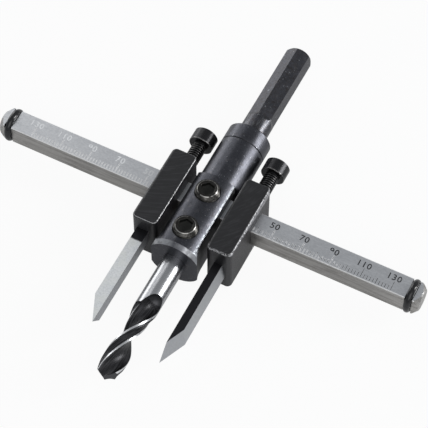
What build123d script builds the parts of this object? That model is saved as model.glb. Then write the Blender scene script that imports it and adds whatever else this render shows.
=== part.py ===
from build123d import *
import os
from math import radians, sin, cos, sqrt, tan

# Adjustable circle cutter, lying on its back as it would on a bench.
# X runs along the scale bar, Y along the pilot drill and the shank (shank towards +Y), Z points up.
# The origin lies on the bench, straight below the point where the bar's axis crosses the drill's.
# All sizes are in millimetres.

# Running clearances, each on one side
slide_clearance = 0.05
thread_clearance = 0.05
bore_clearance = 0.05
screw_end_gap = 0.05
braze_gap = 0.03

# How far a cut runs on past the surfaces it opens
cut_overshoot = 1.0

# Scale bar: square, with a turned groove and a coned stub at each end
bar_side = 7.5
bar_edge_chamfer = 0.2
bar_scale_length = 136.1
ring_groove_width = 2.5
ring_groove_radius = 3.05
bar_stub_length = 2.2
stub_face_radius = 3.4

# Scale on the bar's top face: one line to each division, longer at every fifth and tenth
scale_divisions = 50
scale_pitch = 1.0
scale_line_width = 0.16
scale_line_depth = 0.1
scale_edge_margin = 0.45
short_line_length = 1.5
medium_line_length = 2.1
long_line_length = 3.3
right_scale_margin = 4.85
left_scale_margin = 7.25

# Rubber rings that stop the tool holders at the bar's ends
ring_section_radius = 1.15
ring_stretch_gap = 0.03

# Body: one turned piece, from the drill's mouth to the hexagonal shank
body_radius = 9.6
body_below_bar = 22.4
body_above_bar = 6.3
mouth_chamfer_length = 1.6
mouth_chamfer_depth = 0.7
body_across_flats = 12.5
flats_below_bar = 16.5
flats_run_out_radius = 11.5
collar_radius = 7.35
collar_length = 23.5
collar_chamfer = 0.5
collar_line_from_end = 6.1
collar_line_width = 0.4
collar_line_depth = 0.12
shank_radius = 4.65
shank_round_length = 4.9
shank_hex_length = 31.6
shank_across_flats = 8.0
shank_end_chamfer = 0.8
shank_turn = 21.5
shank_flat_run_out = 3.0

# Set screws in the body: one on the bar, one on the pilot drill
set_screw_radius = 4.0
set_screw_stand_out = 1.4
set_screw_rim_chamfer = 0.5
set_screw_point_chamfer = 0.8
set_screw_socket = 4.0
set_screw_socket_depth = 3.2
set_screw_spacing = 14.7

# Tool holders: blocks that slide on the bar
holder_inner_offset = 8.5
holder_thickness = 8.4
holder_height = 18.6
holder_above_bar = 10.3
holder_below_bar = 18.0
holder_corner_radius = 1.6
holder_edge_radius = 0.9

# Cap screws that clamp the holders to the bar
clamp_screw_radius = 2.4
clamp_screw_length = 16.0
clamp_screw_head_radius = 3.9
clamp_screw_head_height = 4.7
clamp_screw_head_chamfer = 0.35
clamp_screw_point_chamfer = 0.4
clamp_screw_socket = 4.0
clamp_screw_socket_depth = 2.6

# Cutters: tapered bars, ground to a point at the inner edge of the rake face
cutter_inner_wall = 2.65
cutter_rear_wall = 1.2
cutter_rake_width = 3.95
cutter_height = 6.2
cutter_inner_relief = 0.35
cutter_outer_relief = 0.9
cutter_rake_offset = 3.5
cutter_reach = 53.3
cutter_bevel_length = 8.9
cutter_end_relief = 4.2

# Pilot drill: plain shank, and two right-hand flutes with cleared lands and a ground point
drill_radius = 3.8
drill_reach = 66.9
drill_rear_wall = 1.5
drill_rear_chamfer = 0.4
drill_point_angle = 118.0
flute_start = 36.0
flute_radius = 3.2
flute_pitch = 40.0
flute_turn = 70.5
web_thickness = 1.3
land_clearance_start = 40.5
land_clearance_depth = 0.8
land_clearance_turn = 115.0
lip_turn = 57.0
lip_relief_angle = 12.0

# Heights and axes shared by all pieces
axis_height = body_radius
drill_axis = Axis((0, 0, axis_height), (0, 1, 0))
bar_axis = Axis((0, 0, axis_height), (1, 0, 0))
bar_slot_side = bar_side + 2 * slide_clearance
collar_end = body_above_bar + collar_length
cutter_rear = bar_slot_side / 2 + cutter_rear_wall
shank_round_end = collar_end + shank_round_length
shank_end = shank_round_end + shank_hex_length

os.makedirs("parts", exist_ok=True)


def across(y, side=1):
    """Plane square to the drill at y, facing the tip; side -1 is turned half round the drill's axis."""
    return Plane(origin=(0, y, axis_height), x_dir=(side, 0, 0), z_dir=(0, -1, 0))


def level(height, side=1):
    """Plane level with the bench, at a height over the axes, turned half round the drill for side -1."""
    return Plane(origin=(0, 0, axis_height + side * height), x_dir=(side, 0, 0), z_dir=(0, 0, side))


def cutter_outline(inner, outer, point_y):
    """Level outline of a cutter: straight sides, and a bevel from the outer side out to the point."""
    bend_y = point_y + cutter_bevel_length / cutter_rake_width * (outer - inner)
    Polygon(
        (inner, -cutter_rear),
        (outer, -cutter_rear),
        (outer, bend_y),
        (inner, point_y),
        align=None,
    )


def outward_at(turn):
    """Direction out from the drill's axis, turned from straight down by an angle about +Y."""
    return Vector(-sin(radians(turn)), 0, -cos(radians(turn)))


def helix_turn(turn, reach):
    """Angle that a helix about the drill has at a reach, if it has turn at the flutes' start."""
    return turn - 360 * (reach - flute_start) / flute_pitch


def drill_helix(radius, start, turn):
    """Right-hand helix about the drill, from start on past the tip."""
    height = drill_reach + cut_overshoot - start
    helix = Helix(flute_pitch, height, radius, center=(0, -start, axis_height), direction=(0, -1, 0))
    return helix.rotate(drill_axis, helix_turn(turn, start))


# Body
with BuildPart() as body:
    line_y = collar_end - collar_line_from_end
    line_half = collar_line_width / 2
    with BuildSketch(level(0)):
        with BuildLine():
            Polyline(
                (0, -body_below_bar),
                (body_radius - mouth_chamfer_depth, -body_below_bar),
                (body_radius, -body_below_bar + mouth_chamfer_length),
                (body_radius, body_above_bar),
                (collar_radius, body_above_bar),
                (collar_radius, line_y - line_half),
                (collar_radius - collar_line_depth, line_y),
                (collar_radius, line_y + line_half),
                (collar_radius, collar_end - collar_chamfer),
                (collar_radius - collar_chamfer, collar_end),
                (shank_radius, collar_end),
                (shank_radius, shank_end - shank_end_chamfer),
                (shank_radius - shank_end_chamfer, shank_end),
                (0, shank_end),
                close=True,
            )
        make_face()
    revolve(axis=drill_axis)

    # Two side flats, with the milling cutter's radius left at the lower end
    half_flats = body_across_flats / 2
    flat_to_mouth = body_below_bar - flats_below_bar
    run_out = flats_run_out_radius - sqrt(flats_run_out_radius**2 - flat_to_mouth**2)
    for side in (-1, 1):
        with BuildSketch(level(-body_radius - cut_overshoot, side)):
            with BuildLine():
                flat = Line((half_flats, body_above_bar), (half_flats, -flats_below_bar))
                TangentArc(flat @ 1, (half_flats + run_out, -body_below_bar), tangent=flat % 1)
                Polyline(
                    (half_flats + run_out, -body_below_bar),
                    (body_radius + cut_overshoot, -body_below_bar),
                    (body_radius + cut_overshoot, body_above_bar),
                    flat @ 0,
                )
            make_face()
        extrude(amount=2 * (body_radius + cut_overshoot), mode=Mode.SUBTRACT)

    # Six flats on the shank, each with a rounded run-out
    for index in range(6):
        facing = outward_at(shank_turn + 60 * index)
        with BuildSketch(Plane(drill_axis.position, facing, facing.cross(Vector(0, 1, 0)))) as cut:
            with Locations((shank_across_flats / 2, shank_round_end)):
                Rectangle(shank_radius, shank_hex_length + cut_overshoot, align=Align.MIN)
            fillet(cut.vertices().group_by(Axis.Y)[0].sort_by(Axis.X)[0], shank_flat_run_out)
        extrude(amount=shank_radius, both=True, mode=Mode.SUBTRACT)

    # Square slot for the bar, bore for the drill, and the two set screws' holes
    with Locations((0, 0, axis_height)):
        Box(2 * (body_radius + cut_overshoot), bar_slot_side, bar_slot_side, mode=Mode.SUBTRACT)
    with BuildSketch(across(-bar_slot_side / 2 - drill_rear_wall)):
        Circle(drill_radius + bore_clearance)
    extrude(amount=body_below_bar, mode=Mode.SUBTRACT)
    with BuildSketch(level(0)):
        with Locations((0, 0), (0, -set_screw_spacing)):
            Circle(set_screw_radius + thread_clearance)
    extrude(amount=body_radius + cut_overshoot, mode=Mode.SUBTRACT)
body.part.label = "body"
export_step(body.part, "parts/body.step")

# Scale bar: a square bar whose two ends are turned, with a scale on each side of the body
with BuildPart() as bar:
    half_scale = bar_scale_length / 2
    stub_start = half_scale + ring_groove_width
    bar_end = stub_start + bar_stub_length
    past_corners = bar_side
    with Locations((0, 0, axis_height)):
        Box(2 * bar_end, bar_side, bar_side)
    chamfer(bar.edges().filter_by(Axis.X), bar_edge_chamfer)
    with BuildSketch(level(0)):
        with BuildLine():
            Polyline(
                (0, past_corners),
                (half_scale, past_corners),
                (half_scale, ring_groove_radius),
                (stub_start, ring_groove_radius),
                (stub_start, stub_face_radius + bar_stub_length),
                (bar_end, stub_face_radius),
                (bar_end, 0),
                (0, 0),
            )
            mirror(about=Plane.YZ)
        make_face()
    revolve(axis=bar_axis, mode=Mode.INTERSECT)
    for outward, margin in ((1, right_scale_margin), (-1, left_scale_margin)):
        with BuildSketch(level(bar_side / 2)):
            for division in range(scale_divisions + 1):
                line_length = short_line_length
                if division % 5 == 0:
                    line_length = medium_line_length
                if division % 10 == 0:
                    line_length = long_line_length
                x = outward * (half_scale - margin - division * scale_pitch)
                with Locations((x, scale_edge_margin - bar_side / 2 + line_length / 2)):
                    Rectangle(scale_line_width, line_length)
        extrude(amount=-scale_line_depth, mode=Mode.SUBTRACT)
bar.part.label = "scale_bar"
export_step(bar.part, "parts/scale_bar.step")

# Set screws, with their points just clear of the bar and of the drill
for name, y, seat in (
    ("bar_set_screw", 0, bar_side / 2),
    ("drill_set_screw", -set_screw_spacing, drill_radius),
):
    with BuildPart() as set_screw:
        point = seat + screw_end_gap
        with BuildSketch(level(point)):
            with Locations((0, y)):
                Circle(set_screw_radius)
        extrude(amount=body_radius + set_screw_stand_out - point)
        rim, *_, tip = set_screw.edges().filter_by(GeomType.CIRCLE).sort_by(Axis.Z, reverse=True)
        chamfer(rim, set_screw_rim_chamfer)
        chamfer(tip, set_screw_point_chamfer)
        with BuildSketch(level(body_radius + set_screw_stand_out)):
            with Locations((0, y)):
                RegularPolygon(set_screw_socket / 2, 6, major_radius=False)
        extrude(amount=-set_screw_socket_depth, mode=Mode.SUBTRACT)
    set_screw.part.label = name
    export_step(set_screw.part, f"parts/{name}.step")

# The two arms are alike: the left one is the right one turned half round the drill's axis
for name, side in (("right", 1), ("left", -1)):
    holder_middle = holder_inner_offset + holder_thickness / 2
    clamp_screw_seat = bar_side / 2 + screw_end_gap
    clamp_screw_shoulder = clamp_screw_seat + clamp_screw_length
    clamp_screw_top = clamp_screw_shoulder + clamp_screw_head_height
    cutter_inner = holder_inner_offset + cutter_inner_wall
    cutter_outer = cutter_inner + cutter_rake_width
    cutter_back_offset = cutter_height - cutter_rake_offset

    # Ring in its groove
    with BuildPart() as ring:
        with BuildSketch(level(0, side)):
            with Locations(
                (
                    (bar_scale_length + ring_groove_width) / 2,
                    ring_groove_radius + ring_stretch_gap + ring_section_radius,
                )
            ):
                Circle(ring_section_radius)
        revolve(axis=bar_axis)
    ring.part.label = f"{name}_o_ring"
    export_step(ring.part, f"parts/{name}_o_ring.step")

    # Cutter: its outline on the rake face lofts to a smaller, set-back one on the back face
    with BuildPart() as cutter:
        with BuildSketch(level(-cutter_rake_offset, side)):
            cutter_outline(cutter_inner, cutter_outer, -cutter_reach)
        with BuildSketch(level(cutter_back_offset, side)):
            cutter_outline(
                cutter_inner + cutter_inner_relief,
                cutter_outer - cutter_outer_relief,
                -cutter_reach + cutter_end_relief,
            )
        loft(ruled=True)
    cutter.part.label = f"{name}_cutter"
    export_step(cutter.part, f"parts/{name}_cutter.step")

    # Tool holder
    with BuildPart() as holder:
        with BuildSketch(across(holder_above_bar, side)):
            with Locations((holder_middle, 0)):
                Rectangle(holder_thickness, holder_height)
        extrude(amount=holder_above_bar + holder_below_bar)
        fillet(holder.edges().filter_by(Axis.Z), holder_corner_radius)
        level_faces = holder.faces().filter_by(Plane.XY)
        fillet(level_faces.edges(), holder_edge_radius)
        # Square hole for the bar
        with Locations((side * holder_middle, 0, axis_height)):
            Box(holder_thickness + 2 * cut_overshoot, bar_slot_side, bar_slot_side, mode=Mode.SUBTRACT)
        # Threaded hole for the clamp screw, down to the bar
        with BuildSketch(across(holder_above_bar, side)):
            with Locations((holder_middle, 0)):
                Circle(clamp_screw_radius + thread_clearance)
        extrude(amount=holder_above_bar, mode=Mode.SUBTRACT)
        # Tapered pocket for the cutter
        with BuildSketch(across(-cutter_rear, side)):
            Polygon(
                (cutter_inner, -cutter_rake_offset),
                (cutter_outer, -cutter_rake_offset),
                (cutter_outer - cutter_outer_relief, cutter_back_offset),
                (cutter_inner + cutter_inner_relief, cutter_back_offset),
                align=None,
            )
            offset(amount=braze_gap, kind=Kind.INTERSECTION)
        extrude(amount=holder_below_bar, mode=Mode.SUBTRACT)
    holder.part.label = f"{name}_tool_holder"
    export_step(holder.part, f"parts/{name}_tool_holder.step")

    # Clamp screw, with its point just clear of the bar
    with BuildPart() as clamp_screw:
        with BuildSketch(across(clamp_screw_top, side)):
            with Locations((holder_middle, 0)):
                Circle(clamp_screw_head_radius)
        extrude(amount=clamp_screw_head_height)
        with BuildSketch(across(clamp_screw_shoulder, side)):
            with Locations((holder_middle, 0)):
                Circle(clamp_screw_radius)
        extrude(amount=clamp_screw_length)
        rims = clamp_screw.edges().filter_by(GeomType.CIRCLE).sort_by(Axis.Y)
        chamfer(rims[0], clamp_screw_point_chamfer)
        chamfer(rims[-1], clamp_screw_head_chamfer)
        with BuildSketch(across(clamp_screw_top, side)):
            with Locations((holder_middle, 0)):
                RegularPolygon(clamp_screw_socket / 2, 6, major_radius=False)
        extrude(amount=clamp_screw_socket_depth, mode=Mode.SUBTRACT)
    clamp_screw.part.label = f"{name}_clamp_screw"
    export_step(clamp_screw.part, f"parts/{name}_clamp_screw.step")

# Pilot drill: a turned blank, cut by two helical flutes with rounded starts
with BuildPart() as drill:
    drill_rear = bar_slot_side / 2 + drill_rear_wall + bore_clearance
    lip_rise = drill_radius / tan(radians(drill_point_angle / 2))
    land_flat_radius = drill_radius - land_clearance_depth
    land_flat_width = 2 * sqrt(drill_radius**2 - land_flat_radius**2)
    with BuildSketch(level(0)):
        with BuildLine():
            Polyline(
                (0, -drill_rear),
                (drill_radius - drill_rear_chamfer, -drill_rear),
                (drill_radius, -drill_rear - drill_rear_chamfer),
                (drill_radius, -drill_reach),
                (0, -drill_reach),
                close=True,
            )
        make_face()
    revolve(axis=drill_axis)
    for turn in (flute_turn, flute_turn + 180):
        flute = drill_helix(web_thickness / 2 + flute_radius, flute_start + flute_radius, turn)
        with BuildSketch(Plane(flute @ 0, z_dir=flute % 0)):
            Circle(flute_radius)
        sweep(path=flute, is_frenet=True, mode=Mode.SUBTRACT)
        with Locations(flute @ 0):
            Sphere(flute_radius, mode=Mode.SUBTRACT)

        # Flat that clears the land behind its margin
        clearance = drill_helix(land_flat_radius, land_clearance_start, turn + land_clearance_turn)
        clearance_outward = outward_at(helix_turn(turn + land_clearance_turn, land_clearance_start))
        with BuildSketch(Plane(clearance @ 0, x_dir=clearance_outward, z_dir=(0, -1, 0))):
            Rectangle(
                land_clearance_depth + cut_overshoot,
                land_flat_width + cut_overshoot,
                align=(Align.MIN, Align.CENTER),
            )
        sweep(path=clearance, is_frenet=True, mode=Mode.SUBTRACT)

        # Facet ground behind the lip
        lip = helix_turn(turn + lip_turn, drill_reach - lip_rise)
        lip_slope = outward_at(lip) * (lip_rise / drill_radius)
        relief_slope = outward_at(lip + 90) * tan(radians(lip_relief_angle))
        facing = Vector(0, -1, 0) + lip_slope + relief_slope
        with BuildSketch(Plane((0, -drill_reach, axis_height), z_dir=facing)):
            Circle(2 * drill_radius)
        extrude(amount=2 * drill_radius, mode=Mode.SUBTRACT)
drill.part.label = "pilot_drill"
export_step(drill.part, "parts/pilot_drill.step")
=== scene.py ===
import math

import bmesh
import bpy
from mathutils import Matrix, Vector


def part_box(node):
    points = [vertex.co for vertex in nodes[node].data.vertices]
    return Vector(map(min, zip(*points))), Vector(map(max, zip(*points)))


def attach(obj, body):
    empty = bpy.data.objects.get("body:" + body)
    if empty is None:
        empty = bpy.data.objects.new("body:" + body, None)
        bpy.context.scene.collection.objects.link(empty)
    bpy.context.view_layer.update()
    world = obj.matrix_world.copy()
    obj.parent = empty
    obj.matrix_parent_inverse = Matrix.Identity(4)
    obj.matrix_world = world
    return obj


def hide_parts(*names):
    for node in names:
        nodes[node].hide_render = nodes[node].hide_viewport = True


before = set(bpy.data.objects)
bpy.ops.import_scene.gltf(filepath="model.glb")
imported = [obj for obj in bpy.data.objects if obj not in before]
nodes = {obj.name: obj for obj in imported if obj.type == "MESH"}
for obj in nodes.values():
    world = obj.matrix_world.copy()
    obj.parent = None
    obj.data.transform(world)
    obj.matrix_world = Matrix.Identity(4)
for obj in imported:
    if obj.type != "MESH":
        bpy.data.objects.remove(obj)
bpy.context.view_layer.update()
MM = 0.001


def box_mm(node):
    """Lowest and highest corner of a CAD node, in millimetres."""
    low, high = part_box(node)
    return low / MM, high / MM


# Places taken from the frame, in millimetres
body_high = box_mm("body")[1]
bar_low, bar_high = box_mm("scale_bar")
drill_high = box_mm("pilot_drill")[1]
holder_low, holder_high = box_mm("right_tool_holder")
clamp_low, clamp_high = box_mm("right_clamp_screw")
bar_screw_low, bar_screw_high = box_mm("bar_set_screw")
drill_screw_low, drill_screw_high = box_mm("drill_set_screw")
axis_height = (bar_low.z + bar_high.z) / 2
axis_point = Vector((0, 0, axis_height)) * MM
bar_top = bar_high.z
drill_radius = drill_high.x
set_screw_spacing = (bar_screw_low.y + bar_screw_high.y - drill_screw_low.y - drill_screw_high.y) / 2
clamp_screw_x = (clamp_low.x + clamp_high.x) / 2

# Sizes of the body's regions that get their own finish, in millimetres
body_radius = body_high.z - axis_height
body_half_flats = 6.25
flats_end_y = 6.3
mouth_chamfer_end_y = -20.8
mouth_chamfer_radius = 8.9
collar_radius = 7.35
collar_line_y = 23.7
collar_end_y = collar_line_y + 6.0
hexagon_start_y = 37.5
flat_rub_width = 0.8
# x where the painted shade on the mouth's chamfer is deepest
chamfer_shade_x = 0.8
collar_line_width = (0.3, 0.15)
# Width and lowest height of the painted shadow ring round each set screw
shadow_ring_width = 0.4
shadow_ring_low = 4.0

# Where a finish changes from the left half to the right half
middle_x = (-2.0, 2.0)

# The holders: corners, the middle of the milling arcs, the reach of each edge's wear, and where the pale
# strip widens and by how much
holder_corner_radius = 1.6
milling_middle = (-26.0, 22.0)
upper_height = (6.5, 7.5)
inner_reach = (3.0, 1.5)
front_reach = (2.5, 1.5)
thin_line_width = (0.42, 0.34)
front_band_width = (0.85, 0.4)
strip_widens_y = (-14.0, 4.0)
strip_width = (0.9, 2.6)

# Depths below the bar's upper face, and the end of the right half's heavier burrs
groove_depth = (0.04, 0.07)
pale_edge_depth = (0.32, 0.22)
burrs_fade_x = (50.0, 44.0)

# The black end of each cutter, inside its holder and next to it
cutter_black_y = (-22.0, -21.4)

# The scale's lines: x of any one and of the long ones on each side, then where they start and end
any_line_x = 0.2
short_line_spacing = 1.0
right_long_x = 3.2
left_long_x = -0.8
lines_front_y = -3.3
short_line_end_y = -1.8
long_line_end_y = 0.0
right_lines_x = (13.0, 63.4)
left_lines_x = (10.6, 61.0)

# The drill's flutes: where they start and turn, and the angles past a flute's middle, in degrees, that end
# its margin and that its heel lies between
flute_start = 36.0
flute_pitch = 40.0
flute_turn = math.radians(70.5)
cleared_reach = 4.5
margin_end = 67.0
heel_start = 108.0
heel_end = 126.0
heel_radius = 2.85


class Shader:
    """A node material with a Principled surface, and short calls for the nodes it needs."""

    def __init__(self, name, **sockets):
        self.material = bpy.data.materials.new(name)
        self.material.use_nodes = True
        self.tree = self.material.node_tree
        self.surface = self.tree.nodes["Principled BSDF"]
        for socket, value in sockets.items():
            self.set(socket.replace("_", " "), value)
        place = self.tree.nodes.new("ShaderNodeTexCoord")
        self.point = self.vector_math("SCALE", place.outputs["Object"], scale=1 / MM)
        self.x, self.y, self.z = self.axes(self.point)
        self.from_middle = self.math("ABSOLUTE", self.x)
        self.height = self.math("SUBTRACT", self.z, axis_height)
        self.facing_x, self.facing_y, self.facing_z = self.axes(place.outputs["Normal"])

    def set(self, socket, value):
        """Set a surface socket to a value, or link it to another node's output."""
        self.feed(self.surface.inputs[socket], value)

    def feed(self, socket, value):
        if isinstance(value, bpy.types.NodeSocket):
            self.tree.links.new(value, socket)
        else:
            socket.default_value = value

    def node(self, kind, inputs=(), **settings):
        made = self.tree.nodes.new("ShaderNode" + kind)
        for key, value in settings.items():
            setattr(made, key, value)
        for key, value in dict(inputs).items():
            self.feed(made.inputs[key], value)
        return made

    def vector_math(self, operation, a, b=None, scale=None):
        made = self.node("VectorMath", {0: a}, operation=operation)
        if b is not None:
            self.feed(made.inputs[1], b)
        if scale is not None:
            self.feed(made.inputs["Scale"], scale)
        return made.outputs["Value" if operation in ("LENGTH", "DOT_PRODUCT") else "Vector"]

    def math(self, operation, a, b=0.0):
        return self.node("Math", {0: a, 1: b}, operation=operation).outputs[0]

    def both(self, *masks):
        """Product of masks."""
        product = masks[0]
        for mask in masks[1:]:
            product = self.math("MULTIPLY", product, mask)
        return product

    def either(self, a, b):
        return self.math("MAXIMUM", a, b)

    def outside(self, mask):
        return self.math("SUBTRACT", 1.0, mask)

    def axes(self, vector):
        """The x, y and z outputs of a vector."""
        return self.node("SeparateXYZ", {0: vector}).outputs[:3]

    def length(self, a, b):
        """Length of a vector with two parts."""
        return self.vector_math("LENGTH", self.node("CombineXYZ", {0: a, 1: b}).outputs[0])

    def noise(self, scale, stretch=(1, 1, 1), detail=4.0, roughness=0.55):
        """Noise over the object, with scale in waves per millimetre along each axis."""
        stretched = self.vector_math("MULTIPLY", self.point, stretch)
        inputs = {"Vector": stretched, "Scale": scale, "Detail": detail, "Roughness": roughness}
        return self.node("TexNoise", inputs).outputs["Fac"]

    def step(self, value, low, high, to_low=0.0, to_high=1.0):
        """Smooth step of value from low to high."""
        inputs = {
            "Value": value, "From Min": low, "From Max": high, "To Min": to_low, "To Max": to_high,
        }
        return self.node("MapRange", inputs, interpolation_type="SMOOTHSTEP").outputs[0]

    def mix(self, factor, a, b):
        """Mix of two colours."""
        made = self.node("Mix", data_type="RGBA")
        for key, value in ((0, factor), (6, a), (7, b)):
            self.feed(made.inputs[key], value if not isinstance(value, tuple) else (*value, 1))
        return made.outputs[2]

    def blend(self, factor, a, b):
        """Mix of two numbers."""
        made = self.node("Mix", data_type="FLOAT")
        for key, value in ((0, factor), (2, a), (3, b)):
            self.feed(made.inputs[key], value)
        return made.outputs[0]

    def from_set_screw(self):
        """Distance from the axis of the nearer set screw."""
        half_spacing = set_screw_spacing / 2
        past_middle = self.math("ABSOLUTE", self.math("ADD", self.y, half_spacing))
        return self.length(self.x, self.math("SUBTRACT", past_middle, half_spacing))

    def from_line(self, value, first, spacing):
        """Distance from the nearest of a row of lines."""
        turns = self.math("DIVIDE", self.math("SUBTRACT", value, first), spacing)
        off_line = self.math("SUBTRACT", turns, self.math("ROUND", turns))
        return self.math("MULTIPLY", self.math("ABSOLUTE", off_line), spacing)

    def bump(self, height, depth_mm):
        """Bump from a height, of a depth in millimetres."""
        inputs = {"Height": height, "Strength": 1.0, "Distance": depth_mm * MM}
        self.set("Normal", self.node("Bump", inputs).outputs[0])

    def inside(self, value, low, high, corner):
        """How far a value lies in the last stretch, of a corner's radius, between two limits."""
        offset = self.math("ABSOLUTE", self.math("SUBTRACT", value, (low + high) / 2))
        return self.math("SUBTRACT", offset, (high - low) / 2 - corner)

    def level_edge(self, low, high, corner):
        """Distance from a level edge of a block with round upright corners, or of its mirror image."""
        past_x = self.inside(self.from_middle, low.x, high.x, corner)
        past_y = self.inside(self.y, low.y, high.y, corner)
        in_corner = self.length(self.math("MAXIMUM", past_x, 0.0), self.math("MAXIMUM", past_y, 0.0))
        on_flat = self.math("MINIMUM", self.math("MAXIMUM", past_x, past_y), 0.0)
        from_side = self.math("SUBTRACT", corner, self.math("ADD", in_corner, on_flat))
        from_level = self.math("MULTIPLY", self.inside(self.z, low.z, high.z, 0.0), -1.0)
        return self.math("MAXIMUM", from_side, from_level)


def dress(material, *names):
    """Give CAD nodes a material."""
    for name in names:
        piece = nodes[name]
        piece.data.materials.clear()
        piece.data.materials.append(material)


def blackened_steel():
    """Satin black oxide on turned steel, rubbed bare along the edges of the flats, with a pale mouth chamfer
    of wear and painted highlight, and a painted shadow round each set screw.
    """
    shade = Shader("blackened_steel", Metallic=1.0)
    clouds = shade.noise(0.22, detail=5)
    fine = shade.noise(2.5, detail=6)
    turned = shade.noise(3.0, stretch=(0.1, 1.5, 0.1), detail=5)
    from_axis = shade.length(shade.x, shade.height)

    # Rubbed edges of the flats, more on the right than on the left
    flat_side = shade.step(shade.from_middle, body_half_flats - flat_rub_width, body_half_flats - 0.1)
    outer_round = shade.step(from_axis, body_radius - 0.5, body_radius - 0.05)
    below_shoulder = shade.step(shade.y, flats_end_y + 0.1, flats_end_y - 0.1)
    rub_noise = shade.step(shade.noise(1.3, stretch=(1, 0.6, 1), detail=7, roughness=0.65), 0.36, 0.62)
    more_on_right = shade.step(shade.x, *middle_x, 0.4, 1.0)
    rubbed = shade.both(flat_side, outer_round, below_shoulder, rub_noise, more_on_right)

    # Pale chamfer round the mouth, partly wear and partly painted highlight, with painted shade at its top
    # and bottom
    at_mouth = shade.step(shade.y, mouth_chamfer_end_y + 0.15, mouth_chamfer_end_y - 0.15)
    on_chamfer = shade.step(from_axis, mouth_chamfer_radius - 0.05, mouth_chamfer_radius + 0.05)
    from_chamfer_shade = shade.math("ABSOLUTE", shade.math("SUBTRACT", shade.x, chamfer_shade_x))
    outside_chamfer_shade = shade.step(from_chamfer_shade, 1.2, 3.2, 0.25, 1.0)
    chamfer_noise = shade.step(shade.noise(0.7, detail=5), 0.35, 0.55, 0.5, 1.0)
    mouth = shade.both(at_mouth, on_chamfer, chamfer_noise, outside_chamfer_shade)

    # Bare specks and nicks, black pits, the collar's line, and a painted shadow ring round each set screw
    specks = shade.step(shade.noise(1.7, detail=2), 0.7, 0.74)
    scratches = shade.step(shade.noise(0.9, stretch=(2.6, 0.25, 2.6), detail=3), 0.7, 0.76, 0.0, 0.6)
    pits = shade.step(shade.noise(2.1, detail=4, roughness=0.7), 0.58, 0.66, 0.0, 0.75)
    line_gap = shade.math("ABSOLUTE", shade.math("SUBTRACT", shade.y, collar_line_y))
    in_line = shade.both(
        shade.step(line_gap, *collar_line_width),
        shade.step(from_axis, collar_radius + 0.2, collar_radius + 0.1),
        0.7,
    )
    ring_end = set_screw_radius + shadow_ring_width
    painted_shadow_ring = shade.both(
        shade.step(shade.from_set_screw(), ring_end, ring_end - 0.2),
        shade.step(shade.height, shadow_ring_low, shadow_ring_low + 1.0),
        0.85,
    )

    oxide = shade.mix(clouds, (0.062, 0.064, 0.074), (0.102, 0.105, 0.12))
    on_collar = shade.step(shade.y, flats_end_y, flats_end_y + 0.5)
    oxide = shade.mix(shade.both(on_collar, 0.1), oxide, (0.14, 0.143, 0.16))
    oxide = shade.mix(shade.step(fine, 0.35, 0.65, 0.0, 0.35), oxide, (0.045, 0.045, 0.05))
    # Pale smudges and dark brown stains all over
    smudge_noise = shade.noise(0.75, stretch=(1, 0.6, 1), detail=8, roughness=0.72)
    smudges = shade.step(smudge_noise, 0.54, 0.68, 0.0, 0.55)
    oxide = shade.mix(smudges, oxide, (0.17, 0.165, 0.172))
    spots = shade.step(shade.noise(0.55, detail=8, roughness=0.75), 0.55, 0.68, 0.0, 0.7)
    oxide = shade.mix(spots, oxide, (0.05, 0.045, 0.043))

    # Brown stains on the shank, and smears round its root
    on_shank = shade.step(shade.y, collar_end_y, collar_end_y + 0.3)
    stains = shade.step(shade.noise(1.1, detail=7, roughness=0.7), 0.4, 0.66, 0.0, 0.8)
    oxide = shade.mix(shade.both(on_shank, stains, 0.6), oxide, (0.062, 0.052, 0.046))
    smear_noise = shade.noise(0.9, stretch=(1.4, 0.25, 1.4), detail=6, roughness=0.65)
    smears = shade.step(smear_noise, 0.5, 0.68, 0.0, 0.7)
    by_root = shade.both(on_shank, shade.step(shade.y, hexagon_start_y + 1.5, hexagon_start_y - 1.0))
    oxide = shade.mix(shade.both(by_root, smears), oxide, (0.24, 0.245, 0.255))
    colour = shade.mix(pits, oxide, (0.03, 0.03, 0.033))
    colour = shade.mix(shade.either(specks, scratches), colour, (0.36, 0.37, 0.39))
    colour = shade.mix(shade.both(rubbed, shade.step(fine, 0.35, 0.6, 0.4, 1.0)), colour, (0.5, 0.53, 0.56))
    colour = shade.mix(painted_shadow_ring, colour, (0.016, 0.016, 0.018))
    colour = shade.mix(mouth, colour, (0.5, 0.51, 0.53))
    colour = shade.mix(in_line, colour, (0.02, 0.02, 0.022))
    shade.set("Base Color", colour)
    satin = shade.step(clouds, 0.3, 0.7, 0.29, 0.38)
    shade.set("Roughness", shade.blend(shade.both(pits, 0.5), satin, 0.55))
    shade.bump(shade.math("ADD", shade.both(turned, 0.6), fine), 0.007)
    return shade.material


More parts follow.
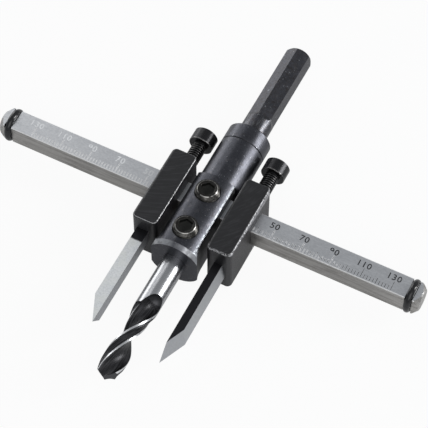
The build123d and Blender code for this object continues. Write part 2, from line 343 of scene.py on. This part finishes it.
def blackened_block():
    """Matt black oxide on milled blocks, bare along edges, with a pale strip on the right outer side that is
    partly painted light.
    """
    shade = Shader("blackened_block", IOR=1.5)
    fine = shade.noise(2.6, detail=7, roughness=0.65)
    grit = shade.noise(4.0, detail=5, roughness=0.75)
    clouds = shade.noise(0.3, detail=4)
    # Arcs left by the milling cutter
    arc = shade.length(
        shade.math("SUBTRACT", shade.x, milling_middle[0]),
        shade.math("SUBTRACT", shade.y, milling_middle[1]),
    )
    arc_place = shade.node("CombineXYZ", {0: shade.both(arc, 1.6), 1: shade.both(shade.y, 0.25)})
    milled = shade.node("TexNoise", {
        "Vector": arc_place.outputs[0], "Scale": 1.0, "Detail": 5.0, "Roughness": 0.6,
    }).outputs["Fac"]
    edge = shade.level_edge(holder_low, holder_high, holder_corner_radius)
    edge = shade.math("ADD", edge, shade.both(fine, 0.12))
    upper = shade.step(shade.height, *upper_height)
    left_arm = shade.step(shade.x, 0.5, -0.5)
    right_arm = shade.outside(left_arm)
    inner = shade.step(shade.from_middle, holder_low.x + inner_reach[0], holder_low.x + inner_reach[1])
    front = shade.step(shade.y, holder_low.y + front_reach[0], holder_low.y + front_reach[1])

    # A thin bright line on the left arm's inner and front upper edges, and broken ones elsewhere
    thin = shade.step(edge, *thin_line_width)
    faded = shade.step(clouds, 0.3, 0.42, 0.25, 0.9)
    unbroken = shade.both(left_arm, upper, shade.either(inner, front), faded)
    broken = shade.step(shade.noise(0.5, detail=4), 0.5, 0.58, 0.0, 0.4)
    line = shade.both(thin, shade.either(unbroken, broken))

    # Speckled bare metal on the right arm's front upper edge
    speckled = shade.step(shade.noise(2.2, detail=6, roughness=0.7), 0.46, 0.58)
    front_band = shade.both(right_arm, upper, front, shade.step(edge, *front_band_width), speckled)

    # A pale chipped strip along the upper and lower edges of the right arm's outer side, wider towards the
    # back, partly painted light where that side is lit
    outward = shade.math("MULTIPLY", shade.facing_x, shade.math("SIGN", shade.x))
    on_outer_side = shade.step(outward, 0.35, 0.75)
    half_height = (holder_high.z - holder_low.z) / 2
    below_edge = shade.math("SUBTRACT", half_height, shade.math("ABSOLUTE", shade.height))
    chips = shade.noise(1.7, detail=4, roughness=0.7)
    width = shade.step(shade.y, *strip_widens_y, *strip_width)
    ragged = shade.math("ADD", below_edge, shade.both(shade.noise(0.8, detail=6, roughness=0.7), 1.2))
    strip = shade.both(
        on_outer_side,
        shade.step(shade.math("SUBTRACT", ragged, width), 0.7, 0.0),
        shade.step(chips, 0.44, 0.54, 0.15, 1.25),
    )
    bare = shade.either(line, front_band)

    colour = shade.mix(clouds, (0.0075, 0.0075, 0.0085), (0.013, 0.013, 0.0145))
    colour = shade.mix(shade.step(fine, 0.55, 0.8, 0.0, 0.5), colour, (0.035, 0.035, 0.038))
    colour = shade.mix(shade.step(milled, 0.46, 0.66, 0.0, 0.38), colour, (0.045, 0.045, 0.05))
    pale = shade.both(strip, right_arm)
    colour = shade.mix(pale, colour, (0.38, 0.38, 0.395))
    colour = shade.mix(bare, colour, (0.62, 0.62, 0.63))
    shade.set("Base Color", colour)
    shade.set("Metallic", shade.either(shade.both(bare, 0.6), shade.both(pale, 0.4)))
    shade.set("Roughness", shade.step(fine, 0.3, 0.7, 0.34, 0.48))
    coarse = shade.math("ADD", shade.both(grit, 0.5), shade.both(milled, 0.6))
    shade.bump(shade.math("ADD", fine, coarse), 0.03)
    return shade.material


def bar_steel():
    """Ground steel: brighter on the scale's face and darker on the sides, partly painted shade; streaked
    sides, pale edges partly painted highlight, and lines filled with painted light and shade.
    """
    shade = Shader("bar_steel", Metallic=1.0)
    grain = shade.noise(5.0, stretch=(0.04, 1, 1), detail=5)
    clouds = shade.noise(0.12, stretch=(0.6, 1.5, 1.5), detail=5)
    specks = shade.noise(2.0, stretch=(0.6, 1, 1), detail=5, roughness=0.7)
    streaks = shade.noise(0.5, stretch=(0.12, 1.6, 1.6), detail=6, roughness=0.6)
    right_half = shade.step(shade.x, *middle_x)
    scale_face = shade.step(shade.facing_z, 0.6, 0.9)
    in_groove = shade.step(shade.z, bar_top - groove_depth[0], bar_top - groove_depth[1])
    grooves = shade.both(scale_face, in_groove)

    light = shade.mix(clouds, (0.68, 0.69, 0.71), (0.8, 0.81, 0.825))
    light = shade.mix(shade.step(specks, 0.35, 0.65, 0.0, 0.3), light, (0.42, 0.43, 0.45))

    # Sides: streaks along the bar, in a darker, browner colour than the scale's face that is partly painted
    # shade
    side = shade.mix(clouds, (0.36, 0.35, 0.335), (0.48, 0.47, 0.455))
    side = shade.mix(shade.step(streaks, 0.42, 0.66, 0.0, 0.6), side, (0.17, 0.16, 0.15))
    side = shade.mix(shade.step(specks, 0.5, 0.75, 0.0, 0.4), side, (0.6, 0.59, 0.57))
    colour = shade.mix(scale_face, side, light)

    # A pale line along the scale face's edges, partly wear and partly painted highlight, matt so that it
    # shows from all sides
    half_width = (bar_high.y - bar_low.y) / 2
    from_edge = shade.math("SUBTRACT", half_width, shade.math("ABSOLUTE", shade.y))
    ragged = shade.math("ADD", from_edge, shade.both(specks, 0.12))
    near_top = shade.step(shade.z, bar_top - pale_edge_depth[0], bar_top - pale_edge_depth[1])
    pale_edge = shade.both(near_top, shade.step(ragged, 0.36, 0.26), 0.8)
    colour = shade.mix(pale_edge, colour, (1.0, 1.0, 1.0))

    # The pale fill on the left and the dark fill on the right are painted light and shade on the engraving
    # Left lines are filled pale, right ones dark, with pale burrs on the inner ones, as the photograph looks
    burred = shade.step(shade.x, *burrs_fade_x, 0.15, 1.0)
    burr = shade.step(shade.noise(0.9, detail=3), 0.45, 0.58)
    shaded_dark_fill = shade.mix(shade.both(burr, burred, 0.7), (0.02, 0.02, 0.022), (0.95, 0.95, 0.97))
    lit_pale_fill = shade.mix(shade.both(burr, 0.4), (1.0, 1.0, 1.0), (0.4, 0.41, 0.43))
    colour = shade.mix(grooves, colour, shade.mix(right_half, lit_pale_fill, shaded_dark_fill))
    # Burrs beside the lines
    long_x = shade.blend(right_half, left_long_x, right_long_x)
    short_burr = shade.both(
        shade.step(shade.from_line(shade.x, any_line_x, short_line_spacing), 0.26, 0.14),
        shade.step(shade.y, short_line_end_y + 0.1, short_line_end_y),
    )
    long_burr = shade.both(
        shade.step(shade.from_line(shade.x, long_x, line_step), 0.28, 0.16),
        shade.step(shade.y, long_line_end_y + 0.1, long_line_end_y),
    )
    first_x = shade.blend(right_half, left_lines_x[0], right_lines_x[0])
    last_x = shade.blend(right_half, left_lines_x[1], right_lines_x[1])
    burrs = shade.both(
        shade.either(short_burr, long_burr),
        shade.step(shade.y, lines_front_y - 0.1, lines_front_y),
        shade.math("GREATER_THAN", shade.from_middle, first_x),
        shade.math("LESS_THAN", shade.from_middle, last_x),
        scale_face,
        shade.outside(grooves),
        shade.blend(right_half, 0.75, shade.both(shade.step(burr, 0.0, 1.0, 0.35, 0.85), burred)),
    )
    colour = shade.mix(burrs, colour, (1.0, 1.0, 1.0))
    shade.set("Base Color", colour)
    matt = shade.either(shade.either(grooves, burrs), shade.both(pale_edge, 0.7))
    shade.set("Metallic", shade.blend(matt, 1.0, 0.0))
    shade.set("Roughness", shade.blend(matt, shade.step(grain, 0.3, 0.7, 0.32, 0.44), 0.55))
    shade.bump(shade.math("ADD", grain, shade.both(specks, 1.2)), 0.007)
    return shade.material


def cutter_steel():
    """Tool bits: bright on the rake face and the bevel, partly painted highlight; duller on the sides, partly
    painted shade; black on the back.
    """
    shade = Shader("cutter_steel", Metallic=1.0)
    grain = shade.noise(5.0, stretch=(0.15, 1, 1), detail=5)
    clouds = shade.noise(0.2, detail=4)
    fine = shade.noise(3.0, detail=5)
    warm = shade.step(shade.noise(0.35, detail=3), 0.4, 0.65, 0.0, 0.5)
    # The right arm is the left one turned half round, so its rake face looks down
    outward = shade.math("SIGN", shade.x)
    rake_side = shade.math("MULTIPLY", shade.facing_z, shade.math("MULTIPLY", outward, -1.0))
    rake = shade.step(rake_side, 0.5, 0.8)
    back = shade.step(rake_side, -0.5, -0.8)
    near_holder = shade.step(shade.math("ADD", shade.y, clouds), *cutter_black_y)
    black = shade.either(back, shade.both(rake, near_holder))
    # The rake's near-white colour, partly matt, is partly painted highlight
    bright = shade.mix(clouds, (0.93, 0.965, 0.98), (1.0, 1.0, 1.0))
    mottled = shade.noise(2.4, detail=4, roughness=0.7)
    bright = shade.mix(shade.step(mottled, 0.42, 0.62, 0.0, 0.45), bright, (0.62, 0.65, 0.66))
    bright = shade.mix(shade.step(grain, 0.4, 0.7, 0.0, 0.3), bright, (0.6, 0.63, 0.64))
    bright = shade.mix(warm, bright, (0.93, 0.94, 0.9))
    # The sides have one duller finish, all alike, partly painted shade
    sides = shade.step(shade.math("ABSOLUTE", shade.facing_x), 0.5, 0.8)
    bright = shade.mix(shade.both(sides, 0.75), bright, (0.36, 0.37, 0.395))
    scale = shade.mix(fine, (0.02, 0.02, 0.022), (0.045, 0.045, 0.05))
    shade.set("Base Color", shade.mix(black, bright, scale))
    shade.set("Metallic", shade.blend(shade.both(rake, shade.outside(black)), 1.0, 0.6))
    shade.set("Roughness", shade.blend(black, shade.step(mottled, 0.3, 0.7, 0.38, 0.46), 0.5))
    shade.bump(shade.blend(black, grain, fine), 0.008)
    return shade.material


def drill_steel():
    """Ground shank, margins and heels, streaked black flutes, and dark ground facets at the point."""
    shade = Shader("drill_steel")
    from_axis = shade.length(shade.x, shade.height)
    grain = shade.noise(4.0, stretch=(0.3, 2.5, 0.3), detail=5)
    fine = shade.noise(2.5, detail=5)
    clouds = shade.noise(0.3, detail=3)

    # Angle past the middle of a flute, up to half a turn, which stays the same along a flute
    around = shade.math("ARCTAN2", shade.both(shade.x, -1.0), shade.both(shade.height, -1.0))
    reach = shade.math("SUBTRACT", shade.both(shade.y, -1.0), flute_start)
    twisted = shade.math("ADD", around, shade.both(reach, math.tau / flute_pitch))
    past_flute = shade.math("FLOORED_MODULO", shade.math("SUBTRACT", twisted, flute_turn), math.pi)
    degrees = shade.math("DEGREES", past_flute)
    streak_place = shade.node("CombineXYZ", {
        0: shade.both(degrees, 0.16),
        1: shade.both(shade.y, 0.12),
        2: shade.both(from_axis, 1.2),
    }).outputs[0]
    streaks = shade.node("TexNoise", {"Vector": streak_place, "Scale": 1.5, "Detail": 5.0}).outputs["Fac"]

    outer = shade.step(from_axis, drill_radius - 0.2, drill_radius - 0.06)
    cleared = shade.step(reach, cleared_reach, cleared_reach + 3.0)
    land_dark = shade.both(
        cleared,
        shade.step(degrees, margin_end - 1.0, margin_end + 2.0),
        shade.step(degrees, heel_end + 4.0, heel_end),
    )
    heel = shade.both(
        cleared,
        shade.step(degrees, heel_start - 2.0, heel_start + 1.0),
        shade.step(degrees, heel_end + 3.0, heel_end),
        shade.step(from_axis, heel_radius, heel_radius + 0.13),
    )
    ground = shade.either(shade.both(outer, shade.outside(land_dark)), heel)
    facets = shade.step(shade.facing_y, -0.35, -0.45)

    bright = shade.mix(clouds, (0.46, 0.465, 0.48), (0.54, 0.545, 0.56))
    bright = shade.mix(cleared, bright, (0.7, 0.705, 0.715))
    dark = shade.mix(shade.step(streaks, 0.35, 0.7), (0.012, 0.012, 0.013), (0.07, 0.07, 0.075))
    dark = shade.mix(facets, dark, (0.07, 0.07, 0.075))
    shade.set("Base Color", shade.mix(ground, dark, bright))
    shade.set("Metallic", shade.blend(ground, 0.7, 1.0))
    polish = shade.blend(cleared, shade.step(grain, 0.3, 0.7, 0.26, 0.32), 0.38)
    shade.set("Roughness", shade.blend(ground, shade.step(streaks, 0.3, 0.7, 0.3, 0.45), polish))
    shade.bump(shade.blend(ground, shade.both(streaks, 6.0), grain), 0.0015)
    return shade.material


def screw_steel():
    """Black cap screws, bare at the rims of the head and along the thread's crests."""
    shade = Shader("screw_steel", Metallic=0.8)
    from_screw_x = shade.math("SUBTRACT", shade.from_middle, clamp_screw_x)
    from_axis = shade.length(from_screw_x, shade.height)
    fine = shade.noise(2.5, detail=5)
    head_start = clamp_high.y - clamp_head_height
    on_rim = shade.step(from_axis, clamp_head_radius - 0.25, clamp_head_radius - 0.08)
    low_rim = shade.step(shade.y, head_start + 0.4, head_start + 0.2)
    high_rim = shade.step(shade.y, clamp_high.y - 0.45, clamp_high.y - 0.3)
    rims = shade.both(on_rim, shade.either(low_rim, high_rim), shade.step(shade.noise(0.6), 0.35, 0.5))
    on_thread = shade.step(shade.y, head_start, head_start - 0.1)
    at_crest = shade.step(from_axis, clamp_thread_radius - 0.1, clamp_thread_radius - 0.03)
    crests = shade.both(on_thread, at_crest)
    bare = shade.either(shade.both(rims, 0.45), shade.both(crests, 0.16))
    colour = shade.mix(fine, (0.022, 0.022, 0.024), (0.04, 0.04, 0.042))
    shade.set("Base Color", shade.mix(bare, colour, (0.4, 0.39, 0.38)))
    shade.set("Roughness", shade.step(fine, 0.3, 0.7, 0.24, 0.34))
    shade.bump(fine, 0.004)
    return shade.material


def worn_screw_steel():
    """Set screws: brownish worn ring round a black socket, with bare rims and thread."""
    shade = Shader("worn_screw_steel", Metallic=1.0)
    from_axis = shade.from_set_screw()
    fine = shade.noise(2.2, detail=6)
    patches = shade.noise(0.7, detail=4)
    top = bar_screw_high.z
    in_socket = shade.step(from_axis, set_socket_mask_radius, set_socket_mask_radius - 0.2)
    socket = shade.both(in_socket, shade.step(shade.z, top - 0.04, top - 0.2))
    top_radius = set_screw_radius - set_rim_chamfer
    rim = shade.both(
        shade.step(from_axis, top_radius - 0.15, top_radius - 0.05),
        shade.step(from_axis, top_radius + 0.2, top_radius + 0.1),
        shade.step(patches, 0.36, 0.5),
    )
    flank = shade.both(
        shade.step(from_axis, top_radius + 0.2, top_radius + 0.35),
        shade.step(patches, 0.4, 0.6, 0.15, 1.0),
    )
    dark = shade.mix(patches, (0.025, 0.024, 0.023), (0.065, 0.062, 0.058))
    dark = shade.mix(shade.step(fine, 0.45, 0.75, 0.0, 0.6), dark, (0.03, 0.027, 0.025))
    worn = shade.mix(shade.step(fine, 0.35, 0.65), (0.05, 0.048, 0.045), (0.16, 0.155, 0.145))
    colour = shade.mix(flank, dark, worn)
    colour = shade.mix(rim, colour, (0.42, 0.41, 0.39))
    colour = shade.mix(socket, colour, (0.05, 0.05, 0.047))
    shade.set("Base Color", colour)
    shade.set("Roughness", shade.blend(socket, shade.step(fine, 0.3, 0.7, 0.26, 0.42), 0.6))
    shade.bump(fine, 0.012)
    return shade.material


def ring_rubber():
    """Moulded black rubber."""
    shade = Shader("ring_rubber", Metallic=0.0, IOR=1.5)
    fine = shade.noise(2.0, detail=5)
    dust = shade.step(shade.noise(3.0, detail=3), 0.7, 0.78, 0.0, 0.3)
    colour = shade.mix(fine, (0.008, 0.008, 0.009), (0.016, 0.016, 0.017))
    shade.set("Base Color", shade.mix(dust, colour, (0.12, 0.12, 0.12)))
    shade.set("Roughness", shade.step(fine, 0.3, 0.7, 0.14, 0.26))
    shade.bump(fine, 0.006)
    return shade.material


# Threaded screws, in millimetres: the cap screws in the holders and the set screws in the body
ring_steps = 96
thread_rings_per_turn = 12
clamp_thread_radius = 2.4
clamp_thread_pitch = 0.8
clamp_head_radius = clamp_high.x - clamp_screw_x + 0.1
clamp_head_height = 4.7
clamp_head_chamfer = 0.35
clamp_point_chamfer = 0.4
clamp_socket = 4.0
clamp_socket_depth = 2.6
set_screw_radius = bar_screw_high.x - 0.15
set_thread_pitch = 1.25
set_rim_chamfer = 0.75
set_rim_depth = 0.65
set_point_chamfer = 0.8
set_socket = 4.2
set_socket_depth = 2.2
set_socket_mask_radius = 2.55
corner_share = 1.155       # of a hexagon: half across its corners to half across its flats
socket_cone_depth = 0.7
crest_share = 0.25
root_share = 0.15
thread_depth_share = 0.54


def thread_radius(radius, pitch, along, turn):
    """Radius of a right-hand thread at a distance along it and a turn in radians."""
    phase = (along / pitch - turn / math.tau) % 1.0
    from_crest = min(phase, 1.0 - phase) * 2
    flank = (from_crest - crest_share) / (1.0 - crest_share - root_share)
    return radius - thread_depth_share * pitch * max(0.0, min(1.0, flank))


def hexagon_radius(across_flats, turn):
    """Distance from a hexagon's middle to its outline, with corners at turns of 0, 60, 120 ... degrees."""
    from_flat = (turn % (math.pi / 3)) - math.pi / 6
    return across_flats / 2 / math.cos(from_flat)


def screw_mesh(name, foot, upward, sections, material):
    """A screw from its foot along upward: each section is a distance and a radius, as a number or by turn."""
    upward = Vector(upward)
    side = upward.orthogonal().normalized()
    other = upward.cross(side)
    mesh = bmesh.new()
    rings = []
    for along, radius in sections:
        ring = []
        for index in range(ring_steps):
            turn = math.tau * index / ring_steps
            reach = radius(turn) if callable(radius) else radius
            out = side * math.cos(turn) + other * math.sin(turn)
            ring.append(mesh.verts.new((Vector(foot) + upward * along + out * reach) * MM))
        rings.append(ring)
    for low, high in zip(rings, rings[1:]):
        for index in range(ring_steps):
            following = (index + 1) % ring_steps
            mesh.faces.new((low[index], low[following], high[following], high[index]))
    mesh.faces.new(list(reversed(rings[0])))
    cone_along = sections[-1][0] - socket_cone_depth
    cone_tip = mesh.verts.new((Vector(foot) + upward * cone_along) * MM)
    for index in range(ring_steps):
        mesh.faces.new((rings[-1][index], rings[-1][(index + 1) % ring_steps], cone_tip))
    data = bpy.data.meshes.new(name)
    mesh.to_mesh(data)
    mesh.free()
    data.shade_smooth()
    data.set_sharp_from_angle(angle=math.radians(35))
    data.materials.append(material)
    piece = bpy.data.objects.new(name, data)
    bpy.context.collection.objects.link(piece)
    return piece


def thread_sections(radius, pitch, start, end):
    """Rings of a thread from start to end."""
    count = round((end - start) / pitch * thread_rings_per_turn)
    for index in range(count + 1):
        along = start + (end - start) * index / count
        yield along, lambda turn, along=along: thread_radius(radius, pitch, along, turn)


def cap_screw(name, side, material):
    """Clamp screw with a hexagon socket head, which stands for its CAD node."""
    length = clamp_high.y - clamp_low.y
    shoulder = length - clamp_head_height
    point_radius = clamp_thread_radius - clamp_point_chamfer
    sections = [(0.0, point_radius - 0.1)]
    sections += thread_sections(clamp_thread_radius, clamp_thread_pitch, clamp_point_chamfer, shoulder - 0.5)
    sections += [
        (shoulder - 0.3, clamp_thread_radius - 0.2),
        (shoulder, clamp_thread_radius - 0.15),
        (shoulder, clamp_head_radius - 0.15),
        (shoulder + 0.15, clamp_head_radius),
        (length - clamp_head_chamfer, clamp_head_radius),
        (length - 0.1, clamp_head_radius - clamp_head_chamfer + 0.08),
        (length, clamp_head_radius - clamp_head_chamfer - 0.1),
        (length, clamp_socket / 2 * corner_share + 0.2),
        (length - 0.2, lambda turn: hexagon_radius(clamp_socket, turn)),
        (length - clamp_socket_depth + socket_cone_depth, lambda turn: hexagon_radius(clamp_socket, turn)),
    ]
    foot = (side * clamp_screw_x, clamp_low.y, axis_height)
    piece = screw_mesh(f"{name}_threaded", foot, (0, 1, 0), sections, material)
    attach(piece, name)
    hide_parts(name)


def set_screw(name, low, high, material):
    """Set screw with a hexagon socket, which stands for its CAD node."""
    length = high.z - low.z
    rim_radius = set_screw_radius - set_rim_chamfer
    sections = [(0.0, set_screw_radius - set_point_chamfer - 0.1)]
    sections += thread_sections(set_screw_radius, set_thread_pitch, set_point_chamfer, length - set_rim_depth)
    sections += [
        (length - set_rim_depth, set_screw_radius - 0.1),
        (length - 0.1, rim_radius + 0.05),
        (length, rim_radius - 0.05),
        (length, set_socket / 2 * corner_share + 0.12),
        (length - 0.15, lambda turn: hexagon_radius(set_socket, turn)),
        (length - set_socket_depth + socket_cone_depth, lambda turn: hexagon_radius(set_socket, turn)),
    ]
    middle = (low + high) / 2
    piece = screw_mesh(f"{name}_threaded", (middle.x, middle.y, low.z), (0, 0, 1), sections, material)
    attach(piece, name)
    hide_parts(name)


# Numbers of the scale, a diameter at every tenth line, in millimetres
number_height = 2.05
number_y = 0.35
number_proud = 0.012
number_weight = 0.03
number_spacing = 1.15
digit_share = 0.7          # of the font's size: height of a digit
first_number = 50
number_step = 20
number_count = 5
right_first_x = 22.6
left_first_x = -21.3
line_step = 10.0


def number_finish(name, pale, dark, pale_from):
    """Finish of the scale's numbers, mottled between two colours."""
    shade = Shader(name)
    mottle = shade.noise(1.1, detail=5, roughness=0.65)
    mottle = shade.step(mottle, pale_from - 0.06, pale_from + 0.06)
    shade.set("Base Color", shade.mix(mottle, dark, pale))
    shade.set("Metallic", shade.step(mottle, 0.0, 1.0, 0.3, 0.0))
    shade.set("Roughness", shade.step(mottle, 0.0, 1.0, 0.5, 0.36))
    shade.bump(mottle, 0.01)
    return shade.material


def scale_number(value, x, material):
    """A number that lies on the bar's upper face."""
    data = bpy.data.curves.new(f"scale_{value}", "FONT")
    data.body = str(value)
    data.size = number_height / digit_share * MM
    data.space_character = number_spacing
    data.align_x = "CENTER"
    data.extrude = number_proud / 2 * MM
    data.offset = number_weight * MM
    data.materials.append(material)
    side = "right" if x > 0 else "left"
    piece = bpy.data.objects.new(f"{side}_number_{value}", data)
    piece.location = Vector((x, number_y, bar_top + number_proud / 2)) * MM
    bpy.context.collection.objects.link(piece)
    bpy.context.view_layer.update()
    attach(piece, "bar")


# Camera at the photograph's angle, with the photograph's small offset from its centre
camera_azimuth = math.radians(27.09)
camera_elevation = math.radians(57.2)
camera_distance = 0.5921
image_side = 428
focal_pixels = 1906.5
axis_pixel = (207.5, 207.95)
away = Vector((
    math.sin(camera_azimuth) * math.cos(camera_elevation),
    -math.cos(camera_azimuth) * math.cos(camera_elevation),
    math.sin(camera_elevation),
))
camera = bpy.data.objects.new("camera", bpy.data.cameras.new("camera"))
bpy.context.collection.objects.link(camera)
camera.location = axis_point + away * camera_distance
camera.rotation_mode = "QUATERNION"
camera.rotation_quaternion = (-away).to_track_quat("-Z", "Y")
camera.data.sensor_fit = "HORIZONTAL"
camera.data.lens = focal_pixels / image_side * camera.data.sensor_width
camera.data.shift_x = (image_side / 2 - axis_pixel[0]) / image_side
camera.data.shift_y = (axis_pixel[1] - image_side / 2) / image_side
bpy.context.scene.camera = camera


def area_lamp(name, direction, distance, size, power):
    """A soft rectangular lamp that faces the object."""
    data = bpy.data.lights.new(name, "AREA")
    data.shape = "RECTANGLE"
    data.size, data.size_y = size
    data.energy = power
    lamp = bpy.data.objects.new(name, data)
    bpy.context.collection.objects.link(lamp)
    outward = Vector(direction).normalized()
    lamp.location = axis_point + outward * distance
    lamp.rotation_mode = "QUATERNION"
    lamp.rotation_quaternion = (-outward).to_track_quat("-Z", "Y")


# Each lamp's direction from the object, its distance and size in metres, and its power in watts
lamps = {
    "right_lamp": ((0.785, 0.48, 0.385), 0.8, (0.18, 0.4), 2.9),
    "left_lamp": ((-0.86, 0.47, 0.18), 0.8, (0.6, 0.4), 1.8),
    "top_lamp": ((-0.57, 0.48, 0.66), 0.8, (0.2, 0.35), 0.26),
    "front_lamp": ((0.3, -0.6, 0.75), 0.9, (0.9, 0.7), 2.6),
}
for lamp_name, settings in lamps.items():
    area_lamp(lamp_name, *settings)

# The world's light, its backdrop for the camera, and the floor: its side in metres, its grey, and the share
# of white that each kind of ray sees in it
world_colour = (0.93, 0.96, 1.0)
world_strength = 0.36
backdrop_strength = 0.97
floor_side = 6
floor_grey = 0.8
floor_white = {"Is Camera Ray": 0.93, "Is Glossy Ray": 0.2, "Is Transmission Ray": 0.2}


def pale_world():
    """Soft cool light from all round, and a white backdrop for the camera."""
    world = bpy.data.worlds.new("studio")
    world.use_nodes = True
    tree = world.node_tree
    light = tree.nodes["Background"]
    light.inputs["Color"].default_value = (*world_colour, 1)
    light.inputs["Strength"].default_value = world_strength
    backdrop = tree.nodes.new("ShaderNodeBackground")
    backdrop.inputs["Color"].default_value = (1, 1, 1, 1)
    backdrop.inputs["Strength"].default_value = backdrop_strength
    paths = tree.nodes.new("ShaderNodeLightPath")
    mix = tree.nodes.new("ShaderNodeMixShader")
    tree.links.new(paths.outputs["Is Camera Ray"], mix.inputs[0])
    tree.links.new(light.outputs[0], mix.inputs[1])
    tree.links.new(backdrop.outputs[0], mix.inputs[2])
    tree.links.new(mix.outputs[0], tree.nodes["World Output"].inputs["Surface"])
    bpy.context.scene.world = world


def pale_floor():
    """A floor that takes soft shadows and looks white to the camera."""
    bpy.ops.mesh.primitive_plane_add(size=floor_side)
    floor = bpy.context.object
    floor.name = "floor"
    material = bpy.data.materials.new("pale_floor")
    material.use_nodes = True
    tree = material.node_tree
    tree.nodes.remove(tree.nodes["Principled BSDF"])
    output = tree.nodes["Material Output"]
    paths = tree.nodes.new("ShaderNodeLightPath")
    diffuse = tree.nodes.new("ShaderNodeBsdfDiffuse")
    diffuse.inputs["Color"].default_value = (floor_grey, floor_grey, floor_grey, 1)
    white = tree.nodes.new("ShaderNodeEmission")
    white.inputs["Strength"].default_value = 1.0
    mix = tree.nodes.new("ShaderNodeMixShader")
    share = None
    for path, white_share in floor_white.items():
        part = tree.nodes.new("ShaderNodeMath")
        part.operation = "MULTIPLY_ADD"
        tree.links.new(paths.outputs[path], part.inputs[0])
        part.inputs[1].default_value = white_share
        part.inputs[2].default_value = 0.0
        if share:
            tree.links.new(share, part.inputs[2])
        share = part.outputs[0]
    tree.links.new(share, mix.inputs[0])
    tree.links.new(diffuse.outputs[0], mix.inputs[1])
    tree.links.new(white.outputs[0], mix.inputs[2])
    tree.links.new(mix.outputs[0], output.inputs["Surface"])
    floor.data.materials.append(material)


pale_world()
pale_floor()

dress(blackened_steel(), "body")
dress(blackened_block(), "left_tool_holder", "right_tool_holder")
dress(bar_steel(), "scale_bar")
dress(cutter_steel(), "left_cutter", "right_cutter")
dress(drill_steel(), "pilot_drill")
dress(ring_rubber(), "left_o_ring", "right_o_ring")

screw_material = screw_steel()
cap_screw("right_clamp_screw", 1, screw_material)
cap_screw("left_clamp_screw", -1, screw_material)
worn_material = worn_screw_steel()
set_screw("bar_set_screw", bar_screw_low, bar_screw_high, worn_material)
set_screw("drill_set_screw", drill_screw_low, drill_screw_high, worn_material)

# Pale numbers on the left and dark ones on the right are painted light and shade
shaded_numbers = number_finish("shaded_numbers", (0.2, 0.205, 0.215), (0.02, 0.02, 0.022), 0.6)
lit_numbers = number_finish("lit_numbers", (0.82, 0.83, 0.84), (0.3, 0.31, 0.33), 0.3)
for index in range(number_count):
    number = first_number + number_step * index
    scale_number(number, right_first_x + line_step * index, shaded_numbers)
    scale_number(number, left_first_x - line_step * index, lit_numbers)

bpy.context.scene.view_settings.view_transform = "Standard"
